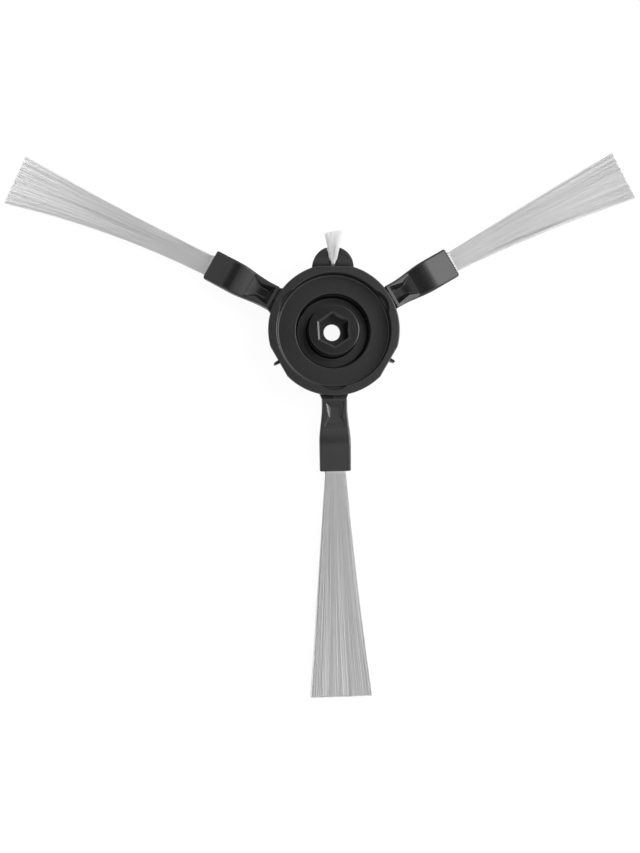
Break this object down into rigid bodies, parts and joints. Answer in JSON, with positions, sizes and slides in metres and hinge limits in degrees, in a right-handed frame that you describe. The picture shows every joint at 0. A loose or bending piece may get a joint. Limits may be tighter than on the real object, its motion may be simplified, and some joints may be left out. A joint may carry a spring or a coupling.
{
  "type": "robot vacuum side brush",
  "caption": "Side brush for a robot vacuum: a round cup hub with a hexagonal drive socket, soft arms carrying long flat bristle tufts, and a short tuft on a lug.",
  "frame": {"origin": "on the spin axis, in the plane of the hub's flat underside, at the mouth of the screw head's recess", "axes": "+Z along the spin axis, out of the cup's open side towards the robot; +Y through the lug that holds the short tuft"},
  "size_m": [0.1627, 0.1406, 0.0132],
  "materials": {
    "hub_plastic": "black moulded plastic, satin, finely grained",
    "arm_rubber": "soft black rubber, smooth and slightly shiny",
    "bristle_nylon": "pale grey nylon filament, satin",
    "staple_wire": "bright flat wire"
  },
  "bodies": {
    "root": {"hub": "hub_plastic", "arm_left": "arm_rubber", "arm_right": "arm_rubber", "arm_bottom": "arm_rubber", "tuft_left": "bristle_nylon", "tuft_right": "bristle_nylon", "tuft_bottom": "bristle_nylon", "short_tuft": "bristle_nylon", "short_tuft_staple": "staple_wire"}
  },
  "joints": []
}
